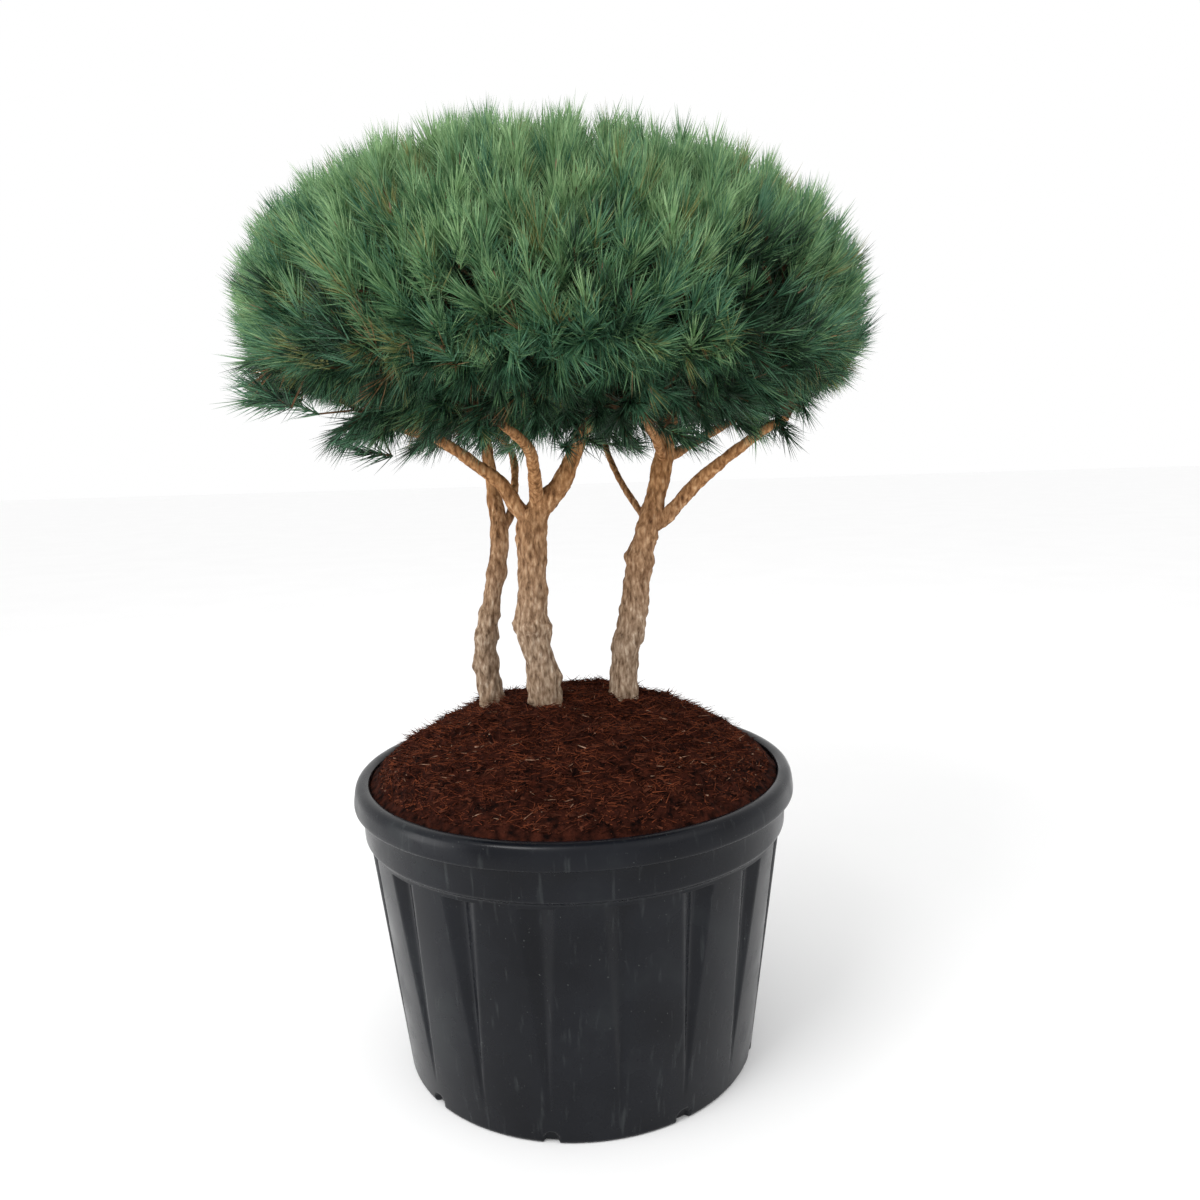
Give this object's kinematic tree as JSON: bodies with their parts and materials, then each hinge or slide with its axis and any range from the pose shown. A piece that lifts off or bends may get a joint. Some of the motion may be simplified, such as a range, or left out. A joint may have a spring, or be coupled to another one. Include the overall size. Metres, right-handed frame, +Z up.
{
  "type": "potted scots pine",
  "caption": "Potted scots pine: a clipped dome of blue-green needles on bare orange-brown stems, in a round fluted black plastic nursery pot filled with bark mulch.",
  "frame": {"origin": "centre of the pot's flat underside", "axes": "+Z up, +X to the right and +Y away as the picture shows the plant"},
  "size_m": [1.109, 1.1228, 1.6177],
  "materials": {
    "pot_plastic": "satin charcoal moulded plastic, scuffed",
    "mulch": "loose red-brown bark and coir fibre",
    "bark": "flaking grey-buff bark, orange-brown higher up",
    "needles": "blue-green needles with a soft sheen"
  },
  "bodies": {
    "root": {"pot": "pot_plastic", "soil": "mulch", "trunk_left": "bark", "trunk_middle": "bark", "trunk_right": "bark", "bough_right_low": "bark", "bough_right_back": "bark", "bough_right_front": "bark", "bough_right_thin": "bark", "bough_middle_left": "bark", "bough_middle_front": "bark", "bough_left_outer": "bark", "bough_left_back": "bark", "foliage_top_left": "needles", "foliage_top_middle": "needles", "foliage_top_right": "needles", "foliage_right": "needles", "foliage_right_back": "needles", "foliage_right_front": "needles", "foliage_back": "needles", "foliage_left_front": "needles", "foliage_front": "needles", "foliage_left": "needles", "foliage_left_back": "needles"}
  },
  "joints": []
}
